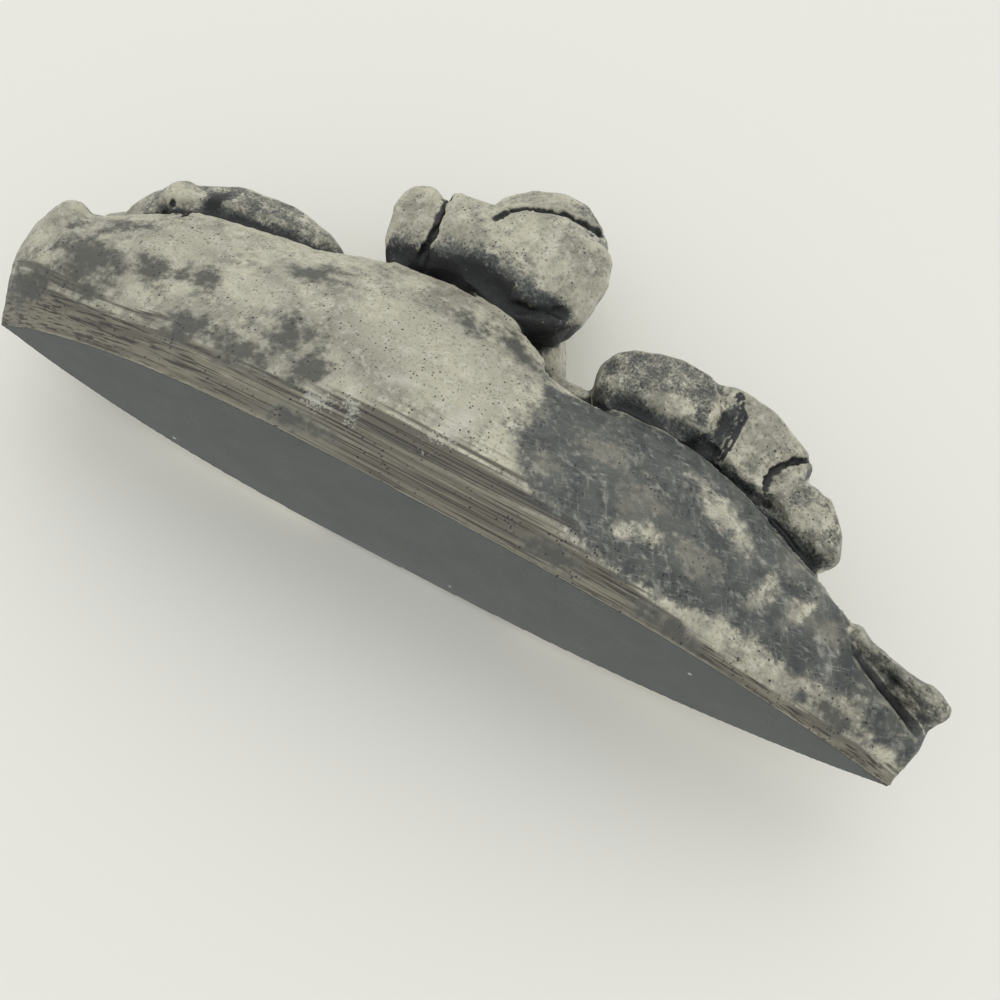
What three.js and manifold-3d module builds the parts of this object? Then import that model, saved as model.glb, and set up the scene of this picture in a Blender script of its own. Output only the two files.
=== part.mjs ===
// Soapstone carving: a hunter in a hooded parka crawls along an ice ridge towards a resting seal.
// The whole work is cut from one stone: the ice mound, both figures and the flat sawn underside.
// Frame: origin at the middle of the underside, +Z up, +X towards the seal, -Y the carved front,
// +Y the plain back wall. Millimetres.

import * as THREE from 'three';
import { LoftGeometry } from 'three/addons/geometries/LoftGeometry.js';
import { mergeVertices } from 'three/addons/utils/BufferGeometryUtils.js';
import Module from 'manifold-3d';

const wasm = await Module();
wasm.setup();

// ---- Driving dimensions ----

const LENGTH = 240; // underside, tip to tip
const HALF_DEPTH = 27.5; // underside, middle to edge
const TIP_FULLNESS = 2.83; // exponent of the lens-shaped underside
const TIP_LEAN = 0.175; // how much fuller the seal end is than the ledge end
const SAWN_BAND = 10.5; // upright sawn foot of the wall at mid length
const SAWN_BAND_TIP = 5.5; // the same at the tips
const SEAL_END_OVERHANG = 7; // how far the seal end swells out past the underside
const LEDGE_END_OVERHANG = 2.8; // the same at the ledge end
const RIDGE_BACK = 9; // ridge line, distance behind the middle
const RIDGE_ROUND = 3.5; // rounding of the ridge
const WALL_BULGE = 1.7; // exponent of the convex back wall

const HEAD_TURN = THREE.MathUtils.degToRad( 26 ); // the hunter's face, towards the carved front
const HEAD_NOD = THREE.MathUtils.degToRad( 8 ); // and down towards the seal

const WASTE = 120; // size of the lump that each flat chisel cut takes away
const GOLDEN_ANGLE = Math.PI * ( 3 - Math.sqrt( 5 ) ); // turn from one flat to the next

// Crest of the ice, x against height.
const RIDGE_LINE = [
	[ - 121, 18.5 ], [ - 93, 32.8 ], [ - 68, 43.8 ], [ - 47, 50.4 ], [ - 22, 50.8 ], [ - 8, 52.8 ],
	[ 6, 59.6 ], [ 20, 62.2 ], [ 42, 59.8 ], [ 62, 53.2 ], [ 91, 48.4 ], [ 108, 39.5 ], [ 114, 34.6 ], [ 121, 35.4 ],
];

const { clamp, lerp, smoothstep } = THREE.MathUtils;

const v = ( x, y, z ) => new THREE.Vector3( x, y, z );

// ---- Solids and how they join ----

function toSolid( geometry ) {

	const bare = new THREE.BufferGeometry();
	bare.setAttribute( 'position', geometry.attributes.position );
	bare.setIndex( geometry.index );
	const merged = mergeVertices( bare, 1e-4 );
	return new wasm.Manifold( new wasm.Mesh( {
		numProp: 3,
		vertProperties: new Float32Array( merged.attributes.position.array ),
		triVerts: new Uint32Array( merged.index.array ),
	} ) );

}

function toGeometry( solid ) {

	const mesh = solid.getMesh();
	const geometry = new THREE.BufferGeometry();
	geometry.setAttribute( 'position', new THREE.BufferAttribute( mesh.vertProperties, 3 ) );
	geometry.setIndex( new THREE.BufferAttribute( mesh.triVerts, 1 ) );
	geometry.computeVertexNormals();
	return geometry;

}

const join = ( solids ) => solids.reduce( ( whole, next ) => whole.add( next ) );

// A piecewise smooth reading of a short table of [ place, value ] pairs.
function along( table, place ) {

	const last = table.length - 1;
	if ( place <= table[ 0 ][ 0 ] ) return table[ 0 ][ 1 ];
	if ( place >= table[ last ][ 0 ] ) return table[ last ][ 1 ];
	const i = table.findIndex( ( pair ) => pair[ 0 ] > place ) - 1;
	const [ x0, y0 ] = table[ i ];
	const [ x1, y1 ] = table[ i + 1 ];
	const slope = ( j ) => {

		const a = table[ Math.max( j - 1, 0 ) ];
		const b = table[ Math.min( j + 1, last ) ];
		return ( b[ 1 ] - a[ 1 ] ) / ( b[ 0 ] - a[ 0 ] );

	};
	const t = ( place - x0 ) / ( x1 - x0 );
	const span = x1 - x0;
	return ( 2 * t ** 3 - 3 * t ** 2 + 1 ) * y0 + ( t ** 3 - 2 * t ** 2 + t ) * span * slope( i )
		+ ( 3 * t ** 2 - 2 * t ** 3 ) * y1 + ( t ** 3 - t ** 2 ) * span * slope( i + 1 );

}

// One flat chisel cut: everything beyond the plane through a point, facing outward, comes off.
function cutFlat( solid, point, outward ) {

	const waste = new THREE.BoxGeometry( WASTE, WASTE, WASTE );
	waste.translate( 0, 0, WASTE / 2 );
	waste.applyQuaternion( new THREE.Quaternion().setFromUnitVectors( v( 0, 0, 1 ), outward.clone().normalize() ) );
	waste.translate( point.x, point.y, point.z );
	return solid.subtract( toSolid( waste ) );

}

// Flat cuts spread evenly round a block, each taking a little off where the block reaches furthest.
function chiselled( solid, flats, bite, turn ) {

	const { vertProperties } = solid.getMesh();
	for ( let i = 0; i < flats; i ++ ) {

		const height = 1 - 2 * ( i + 0.5 ) / flats;
		const angle = turn + i * GOLDEN_ANGLE;
		const level = Math.sqrt( 1 - height * height );
		const outward = v( level * Math.cos( angle ), level * Math.sin( angle ), height );
		const furthest = v( 0, 0, 0 );
		let reach = - Infinity;
		for ( let k = 0; k < vertProperties.length; k += 3 ) {

			const corner = v( vertProperties[ k ], vertProperties[ k + 1 ], vertProperties[ k + 2 ] );
			if ( corner.dot( outward ) <= reach ) continue;
			reach = corner.dot( outward );
			furthest.copy( corner );

		}

		const depth = bite * ( 0.7 + 0.15 * ( i % 5 ) );
		solid = cutFlat( solid, furthest.addScaledVector( outward, - depth ), outward );

	}

	return solid;

}

// A rounded block of stone that follows a path. Each stop is [ centre, half width, half height ],
// square sets how boxy the section is, blunt how full the ends are, over points away from its top.
// The block is then trimmed by a number of flats, bite deep, that start at turn.
function block( { stops, square = 2.6, blunt = 3.4, sides = 12, steps = 9, over = v( 0, 0, 1 ), place = null,
	flats = 0, bite = 1, turn = 0 } ) {

	const path = new THREE.CatmullRomCurve3( stops.map( ( stop ) => stop[ 0 ] ), false, 'centripetal' );
	const width = stops.map( ( stop, i ) => [ i / ( stops.length - 1 ), stop[ 1 ] ] );
	const height = stops.map( ( stop, i ) => [ i / ( stops.length - 1 ), stop[ 2 ] ] );
	const superCurve = ( c ) => Math.sign( c ) * Math.abs( c ) ** ( 2 / square );
	const sections = [];
	for ( let i = 0; i <= steps; i ++ ) {

		const u = clamp( ( 1 - Math.cos( Math.PI * i / steps ) ) / 2, 0.002, 0.998 );
		const full = ( 1 - Math.abs( 2 * u - 1 ) ** blunt ) ** ( 1 / blunt );
		const centre = path.getPoint( u );
		const onward = path.getTangent( u );
		const side = onward.clone().cross( over ).normalize();
		const top = side.clone().cross( onward );
		const ring = [];
		for ( let j = 0; j < sides; j ++ ) {

			const angle = 2 * Math.PI * ( j + 0.5 ) / sides;
			ring.push( centre.clone()
				.addScaledVector( side, - superCurve( Math.cos( angle ) ) * along( width, u ) * full )
				.addScaledVector( top, superCurve( Math.sin( angle ) ) * along( height, u ) * full ) );

		}

		sections.push( ring );

	}

	const geometry = new LoftGeometry( sections, { capStart: true, capEnd: true } );
	if ( place ) geometry.applyMatrix4( place );
	return chiselled( toSolid( geometry ), flats, bite, turn );

}

// ---- The ice mound ----

function halfDepth( x ) {

	const t = 2 * x / LENGTH;
	return HALF_DEPTH * ( 1 - Math.abs( t ) ** TIP_FULLNESS ) * ( 1 + TIP_LEAN * t );

}

function iceSection( x ) {

	const t = 2 * x / LENGTH;
	const edge = halfDepth( x );
	const foot = lerp( SAWN_BAND_TIP, SAWN_BAND, 1 - t * t );
	const crest = along( RIDGE_LINE, x );
	const tip = smoothstep( Math.abs( t ), 0.72, 1 );
	const crestBack = lerp( RIDGE_BACK, 5.5, tip );
	const bulge = 9 * tip;
	const points = [ [ edge, 0 ], [ edge + 0.3 + bulge * 0.35, foot ] ];
	for ( const s of [ 0.18, 0.38, 0.58, 0.78, 0.93 ] ) {

		const y = lerp( edge, crestBack, s ** WALL_BULGE ) + bulge * Math.sin( Math.PI * s ** 0.7 );
		points.push( [ Math.max( y, crestBack + ( 1 - s ) * 3 ), lerp( foot, crest - RIDGE_ROUND * 0.4, s ) ] );

	}

	const shelf = lerp( Math.max( crest - 12, 17 ), crest - 4, tip );
	const chip = Math.sin( 0.11 * x ) + 0.6 * Math.sin( 0.27 * x + 1 );
	const brow = lerp( foot + 0.5 * ( shelf - foot ) + 2 * chip, foot + 4, tip * 0.6 );
	points.push( [ crestBack - RIDGE_ROUND * 0.5, crest ] );
	points.push( [ crestBack - RIDGE_ROUND * 1.8, crest - RIDGE_ROUND * 0.4 ] );
	points.push( [ lerp( - 4, 0, tip ), lerp( crest, shelf, 0.8 ) ] );
	points.push( [ lerp( Math.min( - 0.5 * edge, - 6 ), - 5, tip ), shelf ] );
	points.push( [ - 0.88 * edge - 2 - bulge * 0.5, lerp( brow, shelf, 0.62 ) ] );
	points.push( [ - edge + 0.6 + 0.9 * chip - bulge * 0.8, brow ] );
	points.push( [ - edge - 0.2 - bulge * 0.35, foot ] );
	points.push( [ - edge, 0 ] );
	const close = Math.sqrt( 1 - 0.985 * clamp( ( Math.abs( t ) - 0.9 ) / 0.1, 0, 1 ) ** 2 );
	return points.map( ( [ y, z ] ) => [ lerp( Math.min( 3, z / 8 ), y, close ), z ] );

}

function iceMound() {

	const sections = [];
	const steps = 30;
	for ( let i = 0; i <= steps; i ++ ) {

		const t = clamp( - Math.cos( Math.PI * i / steps ), - 0.9995, 0.9995 );
		const x = t * LENGTH / 2;
		const reach = smoothstep( Math.abs( t ), 0.85, 1 ) * ( t > 0 ? SEAL_END_OVERHANG : - LEDGE_END_OVERHANG );
		const swell = ( z ) => Math.sin( 0.5 * Math.PI * Math.min( z / ( 0.75 * along( RIDGE_LINE, x ) ), 1.2 ) );
		sections.push( iceSection( x ).map( ( [ y, z ] ) => v( x + reach * swell( z ), y, z ) ) );

	}

	return toSolid( new LoftGeometry( sections, { capStart: true, capEnd: true } ) );

}

// The raised knob of ice at the seal end.
const iceKnob = () => block( {
	stops: [ [ v( 111, 3, 16 ), 8, 7 ], [ v( 117, 3, 27 ), 8.5, 7.2 ], [ v( 121, 4, 36.6 ), 6.5, 4.4 ] ],
	over: v( - 1, 0, 0 ),
} );

// The slab of ice that overhangs the other end, and the groove cut in under it.
const iceLedge = () => block( {
	stops: [ [ v( - 91, 4, 27.6 ), 4.5, 2 ], [ v( - 107, 8, 22.6 ), 7.5, 2 ], [ v( - 123.2, 8, 16.2 ), 8, 2.6 ] ],
	square: 4, blunt: 6, steps: 8,
} );
const ledgeGroove = () => block( {
	stops: [ [ v( - 98, 13, 21.6 ), 3, 0.6 ], [ v( - 109, 13, 16.6 ), 4.5, 2 ], [ v( - 128, 12, 9.6 ), 7, 2 ] ],
	square: 3, blunt: 8, steps: 8, sides: 10,
} );

// The bank of ice left standing behind the ridge, which carries the near leg.
const iceBank = () => block( {
	stops: [ [ v( - 42, - 1, 45 ), 6.5, 6 ], [ v( - 67, - 1, 43 ), 6.5, 7 ], [ v( - 90, - 0.5, 31.5 ), 6, 6.5 ] ],
	steps: 5, sides: 8,
} );

// ---- The hunter ----

function parkaBody() {

	const back = block( {
		stops: [ [ v( 22, - 10, 77 ), 13, 13 ], [ v( 12, - 12, 67 ), 15, 15.5 ], [ v( - 3, - 15, 48 ), 15, 14 ],
			[ v( - 23, - 13.5, 46 ), 15, 14 ], [ v( - 48, - 11, 50 ), 14, 13.5 ] ],
		square: 2.8, steps: 13, sides: 14, flats: 14, bite: 1.6, turn: 0.4,
	} );
	const tail = block( {
		stops: [ [ v( - 18, - 3, 57 ), 11, 9 ], [ v( - 28, - 3, 60 ), 12.5, 11.8 ], [ v( - 38, - 3, 61.2 ), 12.5, 12.8 ],
			[ v( - 49.5, - 3, 59.2 ), 11.8, 11.5 ] ],
		square: 3, blunt: 5, flats: 14, bite: 0.8, turn: 1.1,
	} );
	const farSkirt = block( {
		stops: [ [ v( - 16, - 15, 50 ), 10, 11 ], [ v( - 30, - 16, 53 ), 11.5, 13 ], [ v( - 44, - 16, 51 ), 11, 12 ] ],
		square: 3, blunt: 4, flats: 14, bite: 1.3, turn: 2,
	} );
	return join( [ back, tail, farSkirt ] );

}

// The head frame: origin in the middle of the hood, x the way the hunter looks.
const headPlace = new THREE.Matrix4().makeTranslation( 13.5, - 9, 88.5 )
	.multiply( new THREE.Matrix4().makeRotationZ( - HEAD_TURN ) )
	.multiply( new THREE.Matrix4().makeRotationY( HEAD_NOD ) );

function head() {

	const hood = block( {
		stops: [ [ v( - 18.5, 0, - 2 ), 12.5, 15.4 ], [ v( 0, 0, 1 ), 14.5, 18.5 ], [ v( 22, 0, 0.8 ), 12.8, 16.6 ] ],
		blunt: 2.5, sides: 14, steps: 9, place: headPlace, flats: 16, bite: 0.7, turn: 0.3,
	} );
	const opening = block( {
		stops: [ [ v( 9, 0, - 0.5 ), 8, 11.5 ], [ v( 24, 0, - 0.5 ), 8.6, 12.5 ] ],
		blunt: 5, sides: 14, steps: 5, place: headPlace,
	} );
	const face = block( {
		stops: [ [ v( 15.6, 0, - 12 ), 4.8, 5 ], [ v( 13.6, 0, - 5 ), 7.6, 5.2 ], [ v( 13.2, 0, 3 ), 8, 5 ],
			[ v( 11, 0, 12 ), 6.5, 5 ] ],
		over: v( - 1, 0, 0 ), blunt: 3, sides: 12, steps: 9, place: headPlace,
	} );
	const nose = block( {
		stops: [ [ v( 18.4, 0, - 4.4 ), 2, 1.6 ], [ v( 17.8, 0, - 1.5 ), 1.4, 1.6 ], [ v( 16.2, 0, 2.5 ), 1.1, 1.4 ] ],
		over: v( - 1, 0, 0 ), sides: 8, steps: 5, place: headPlace,
	} );
	const brow = block( {
		stops: [ [ v( 14, - 6.8, 2 ), 1.2, 1.3 ], [ v( 16.8, 0, 3.6 ), 1.8, 1.5 ], [ v( 14, 6.8, 2 ), 1.2, 1.3 ] ],
		sides: 8, steps: 8, place: headPlace,
	} );
	const lips = [ - 7, - 8.6 ].map( ( z, i ) => block( {
		stops: [ [ v( 16.6, - 3.1, z ), 1, 0.6 ], [ v( 18.4 - 0.3 * i, 0, z ), 1.3, 0.95 ], [ v( 16.6, 3.1, z ), 1, 0.6 ] ],
		sides: 8, steps: 6, place: headPlace,
	} ) );
	const ruff = [ - 1, 1 ].map( ( side ) => block( {
		stops: Array.from( { length: 9 }, ( _, i ) => {

			const angle = lerp( - 0.53, 0.53, i / 8 ) * Math.PI;
			return [ v( 18.2 - 1.2 * Math.cos( angle ), side * 9.6 * Math.cos( angle ), - 0.5 + 13.8 * Math.sin( angle ) ), 3, 2.7 ];

		} ),
		over: v( 1, 0, 0 ), blunt: 8, sides: 6, steps: 12, place: headPlace,
	} ) );
	return join( [ hood.subtract( opening ), face, nose, brow, ...lips, ...ruff ] );

}

function arms() {

	const nearSleeve = block( {
		stops: [ [ v( - 7.4, 0, 77 ), 8.5, 12.5 ], [ v( - 2, 2, 77 ), 9.5, 16 ], [ v( 6, 3, 77 ), 10, 18.5 ],
			[ v( 18, 4, 76 ), 9.7, 14 ], [ v( 29, 4, 75.6 ), 9.2, 11.6 ], [ v( 37.8, 4, 74.2 ), 9.2, 14.7 ] ],
		square: 3, blunt: 7, sides: 14, steps: 12, flats: 18, bite: 1, turn: 0.9,
	} );
	const nearMitten = block( {
		stops: [ [ v( 38.5, 3, 60 ), 6.5, 6.6 ], [ v( 42.5, 3, 73 ), 7.5, 6.6 ], [ v( 45.5, 3, 85.8 ), 6, 6 ] ],
		square: 3.4, over: v( - 1, 0, 0 ), blunt: 4, flats: 18, bite: 0.8, turn: 0.2,
	} );
	const farShoulder = block( {
		stops: [ [ v( 5, - 18, 80 ), 8, 10 ], [ v( 11, - 22, 68 ), 9, 11.5 ], [ v( 17, - 23.5, 50 ), 8.5, 11 ] ],
		square: 3, over: v( 1, 0, 0.6 ), flats: 16, bite: 1, turn: 0.6,
	} );
	const farSleeve = block( {
		stops: [ [ v( 10, - 22.5, 48 ), 8, 9 ], [ v( 24, - 21.5, 47 ), 8, 9 ], [ v( 37, - 19, 48 ), 7.5, 9 ] ],
		square: 3, blunt: 5, flats: 14, bite: 0.9, turn: 1.4,
	} );
	const farMitten = block( {
		stops: [ [ v( 35, - 19.5, 46.5 ), 6.5, 6.5 ], [ v( 44, - 18, 46 ), 7.5, 6.8 ], [ v( 54, - 16, 43 ), 6, 4.5 ] ],
		square: 3, flats: 14, bite: 0.7, turn: 0.5,
	} );
	return join( [ nearSleeve, nearMitten, farShoulder, farSleeve, farMitten ] );

}

function legs() {

	const nearLeg = block( {
		stops: [ [ v( - 42, - 3, 61 ), 10, 13 ], [ v( - 55, - 3, 61.5 ), 10, 12.5 ], [ v( - 75, - 3, 55 ), 9, 11 ] ],
		square: 3, blunt: 4, flats: 16, bite: 1, turn: 0.1,
	} );
	const nearBoot = block( {
		stops: [ [ v( - 71, 0, 55.5 ), 6, 6.6 ], [ v( - 79, 0, 50 ), 6.5, 7 ], [ v( - 88, 0, 40 ), 6, 5.8 ] ],
		square: 3.6, flats: 16, bite: 0.8, turn: 0.8,
	} );
	const farLeg = block( {
		stops: [ [ v( - 40, - 16, 50 ), 9, 12 ], [ v( - 54, - 17.5, 47 ), 9, 11.5 ], [ v( - 74, - 16, 41 ), 8, 9.5 ] ],
		square: 3, blunt: 4, flats: 14, bite: 1, turn: 1.7,
	} );
	const farBoot = block( {
		stops: [ [ v( - 69, - 15, 42 ), 7, 7 ], [ v( - 79, - 14, 38 ), 7.5, 7.5 ], [ v( - 90, - 12, 31 ), 6.5, 6 ] ],
		square: 3, flats: 14, bite: 0.8, turn: 0.5,
	} );
	return join( [ nearLeg, nearBoot, farLeg, farBoot ] );

}

// ---- The seal ----

function seal() {

	const body = block( {
		stops: [ [ v( 43.5, - 3, 46.5 ), 5, 6 ], [ v( 59, - 4, 50 ), 10.5, 12.8 ], [ v( 80, - 6, 51.5 ), 14, 15 ],
			[ v( 101, - 8, 47 ), 12.5, 12.5 ], [ v( 115, - 9, 40 ), 8.5, 8.5 ] ],
		blunt: 3, sides: 14, steps: 11, flats: 14, bite: 0.7, turn: 0.7,
	} );
	const sealHead = block( {
		stops: [ [ v( 106, - 10, 41 ), 8, 8 ], [ v( 115, - 12, 39.5 ), 7.5, 7.5 ], [ v( 123.5, - 14, 36 ), 4.5, 4.5 ] ],
		blunt: 3, sides: 10, steps: 7, flats: 10, bite: 0.4, turn: 0.2,
	} );
	const nearFlipper = block( {
		stops: [ [ v( 95, 0, 55.5 ), 7.5, 4 ], [ v( 96.5, 3.5, 50.5 ), 7.5, 4 ], [ v( 97, 5, 45 ), 7, 3 ] ],
		square: 4, over: v( 0, 1, 0 ), sides: 10, steps: 7,
	} );
	const farFlipper = block( {
		stops: [ [ v( 98, - 17, 46 ), 6.5, 3.5 ], [ v( 99, - 20.5, 39 ), 7, 3 ], [ v( 97, - 22, 33 ), 6, 2.4 ] ],
		square: 4, over: v( 0, - 1, 0 ), sides: 8, steps: 6,
	} );
	const hindFlippers = [ - 1, 1 ].map( ( side ) => block( {
		stops: [ [ v( 58, - 4, 48 ), 5, 3.4 ], [ v( 53, - 4 + 4 * side, 48 ), 4.6, 3 ], [ v( 46, - 4 + 7 * side, 47 ), 3.6, 2 ] ],
		square: 3, sides: 10, steps: 7,
	} ) );
	return join( [ body, sealHead, nearFlipper, farFlipper, ...hindFlippers ] );

}

// ---- The finished stone ----

const stone = new THREE.MeshStandardMaterial( { color: 0x8f8d82, roughness: 0.72, metalness: 0 } );
const ice = join( [ iceMound().subtract( ledgeGroove() ), iceBank(), iceKnob(), iceLedge() ] );
const hunter = join( [ parkaBody(), head(), arms(), legs() ] );
const carving = new THREE.Mesh( toGeometry( join( [ ice, hunter, seal() ] ) ), stone );
carving.name = 'hunter_sculpture';

const group = new THREE.Group();
group.add( carving );

export default group;
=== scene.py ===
import math
import bpy
import numpy as np
from mathutils import Matrix, Vector, bvhtree, kdtree


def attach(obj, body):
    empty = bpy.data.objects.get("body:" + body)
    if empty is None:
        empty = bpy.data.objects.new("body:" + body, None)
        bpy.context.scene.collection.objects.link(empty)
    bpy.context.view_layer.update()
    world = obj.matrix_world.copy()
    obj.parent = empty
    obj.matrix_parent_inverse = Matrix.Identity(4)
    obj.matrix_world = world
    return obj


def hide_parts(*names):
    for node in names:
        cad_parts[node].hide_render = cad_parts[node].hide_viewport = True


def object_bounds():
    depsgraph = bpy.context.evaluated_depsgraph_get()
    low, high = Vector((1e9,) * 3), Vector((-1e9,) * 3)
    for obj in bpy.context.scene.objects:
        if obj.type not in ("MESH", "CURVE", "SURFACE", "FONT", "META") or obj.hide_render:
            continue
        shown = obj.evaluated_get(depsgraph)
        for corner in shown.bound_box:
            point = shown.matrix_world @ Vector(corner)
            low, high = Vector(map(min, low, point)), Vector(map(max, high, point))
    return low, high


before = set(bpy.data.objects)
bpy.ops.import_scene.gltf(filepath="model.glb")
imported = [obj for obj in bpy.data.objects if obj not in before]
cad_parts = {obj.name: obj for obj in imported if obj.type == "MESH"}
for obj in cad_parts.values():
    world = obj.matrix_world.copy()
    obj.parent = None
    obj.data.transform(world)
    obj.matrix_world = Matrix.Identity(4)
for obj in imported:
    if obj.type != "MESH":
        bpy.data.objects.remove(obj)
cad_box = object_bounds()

# The viewpoint. The carving is looked at from behind and a little below, tipped over to one side,
# as it shows when it lies on its carved front on a table.
MM = 0.001
LENS = 43.0
SENSOR = 36.0
LOOK_AT = Vector((-11.596, 0.0, 18.891)) * MM
DISTANCE = 287.58 * MM
TURN = math.radians(188.0)
RISE = math.radians(-20.0)
ROLL = math.radians(29.81)

back = Vector((math.sin(TURN) * math.cos(RISE), -math.cos(TURN) * math.cos(RISE), math.sin(RISE)))
level = (-back).cross(Vector((0, 0, 1))).normalized()
upright = level.cross(-back)
right = level * math.cos(ROLL) + upright * math.sin(ROLL)
top = upright * math.cos(ROLL) - level * math.sin(ROLL)
eye = bpy.data.cameras.new("viewpoint")
eye.lens = LENS
eye.sensor_width = SENSOR
eye.clip_start = 0.01
viewer = bpy.data.objects.new("viewpoint", eye)
viewer.matrix_world = Matrix.Translation(LOOK_AT + back * DISTANCE) @ Matrix(
    ((right.x, top.x, back.x), (right.y, top.y, back.y), (right.z, top.z, back.z))).to_4x4()
bpy.context.scene.collection.objects.link(viewer)
bpy.context.scene.camera = viewer

# The stone. One block of soapstone, sawn flat underneath, with the hunter, the seal and the ice all
# cut from it. The rough form is taken over a fine even grid of points, ready for the chisel work.
# From here on, places and sizes are in millimetres.
GRID = 0.66

stone_node = bpy.data.objects["hunter_sculpture"]
carving = bpy.data.objects.new("carved_soapstone", stone_node.data.copy())
bpy.context.scene.collection.objects.link(carving)
grid = carving.modifiers.new("even grid", "REMESH")
grid.mode = "VOXEL"
grid.voxel_size = GRID * MM
grid.adaptivity = 0.0
bpy.context.view_layer.update()
fine = bpy.data.meshes.new_from_object(carving.evaluated_get(bpy.context.evaluated_depsgraph_get()))
carving.modifiers.clear()
carving.data = fine

count = len(fine.vertices)
points = np.empty(count * 3)
fine.vertices.foreach_get("co", points)
points = points.reshape(-1, 3) / MM
edges = np.empty(len(fine.edges) * 2, dtype=np.int64)
fine.edges.foreach_get("vertices", edges)
edges = edges.reshape(-1, 2)
fine.calc_loop_triangles()
faces = np.empty(len(fine.loop_triangles) * 3, dtype=np.int64)
fine.loop_triangles.foreach_get("vertices", faces)
faces = faces.reshape(-1, 3)
one_end = np.concatenate([edges[:, 0], edges[:, 1]])
other_end = np.concatenate([edges[:, 1], edges[:, 0]])
neighbours = np.bincount(one_end, minlength=count)


def soften(values, rounds, amount=0.5):
    """Average each point's values with its neighbours'; amount may differ from point to point."""
    values = values.copy()
    single = values.ndim == 1
    share = amount if np.isscalar(amount) or single else amount[:, None]
    for _ in range(rounds):
        if single:
            mean = np.bincount(one_end, values[other_end], count) / neighbours
        else:
            mean = np.stack([np.bincount(one_end, values[other_end, k], count) for k in range(3)], 1)
            mean = mean / neighbours[:, None]
        values += (mean - values) * share
    return values


def facing():
    """The outward direction at every point."""
    a, b, c = points[faces[:, 0]], points[faces[:, 1]], points[faces[:, 2]]
    turned = np.cross(b - a, c - a)
    total = np.zeros((count, 3))
    for corner in range(3):
        for k in range(3):
            total[:, k] += np.bincount(faces[:, corner], turned[:, k], count)
    return total / np.maximum(np.linalg.norm(total, axis=1, keepdims=True), 1e-9)


def rise(value, low, high):
    """0 below low, 1 above high, and an easy slope between."""
    t = np.clip((value - low) / (high - low), 0, 1)
    return t * t * (3 - 2 * t)


# The ice wall behind. It was rasped and rubbed smooth, so it is softened until only slow waves are
# left, while the ridge along its top and the carved side keep their corners. The sawn foot is left
# nearly still, so its edge stays sharp.
RIDGE_X = (-121, -93, -68, -47, -22, -8, 6, 20, 42, 62, 91, 108, 114, 121)
RIDGE_Z = (18.5, 32.8, 43.8, 50.4, 50.8, 52.8, 59.6, 62.2, 59.8, 53.2, 48.4, 39.5, 34.6, 35.4)
WALL_FRONT = 4.0
SAWN_EDGE = 1.2
RUBBED = 60

x, y, z = points.T
above_ridge = z - np.interp(x, RIDGE_X, RIDGE_Z)
outward = facing()
wall = rise(y, WALL_FRONT, WALL_FRONT + 4) * (1 - rise(above_ridge, -4.0, -1.5))
wall = wall * (1 - rise(-outward[:, 2], 0.6, 0.9)) * (1 - rise(-x, 92, 100))
wall = soften(wall, 4)
underneath = (z < 0.5) & (outward[:, 2] < -0.7)
still = np.where(z < SAWN_EDGE, 0.15, 1.0)
points = soften(points, 1, 0.45 * still)
points = soften(points, RUBBED, 0.5 * wall * still)


# The chisel work. The hunter, the seal and the front of the ice were cut with flat strokes, so
# their rounds are broken into small planes; the hunter's are the smallest.
def chisel(region, strokes, reach, bite, seed):
    """Flatten the rounds of the stone in seeded patches of the given reach, each cut bite deep."""
    rng = np.random.default_rng(seed)
    outward = facing()
    for spot in rng.choice(count, strokes, p=region / region.sum()):
        reach_here = reach * rng.uniform(0.7, 1.3)
        near = np.nonzero((np.abs(points - points[spot]) < reach_here).all(1))[0]
        away = np.linalg.norm(points[near] - points[spot], axis=1)
        alike = (outward[near] @ outward[spot] > 0.3) & (away < reach_here)
        near, away = near[alike], away[alike]
        middle = away < 0.6 * reach_here
        plane = outward[near[middle]].mean(0)
        plane /= np.linalg.norm(plane)
        height = (points[near] - points[near[middle]].mean(0)) @ plane
        curved = np.clip(height[middle].std() / 0.3, 0, 1.3)
        cut = np.clip(height + bite * curved, 0, 2 * bite) * (1 - rise(away, 0.7 * reach_here, reach_here))
        points[near] -= plane * (cut * curved * region[near])[:, None]


carved = (1 - wall) * rise(points[:, 2], 2, 5)
figure = carved * rise(above_ridge, -2, 3)
chisel(carved * (1 - figure), strokes=90, reach=9.0, bite=0.8, seed=11)
chisel(figure, strokes=130, reach=5.0, bite=0.28, seed=12)

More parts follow.
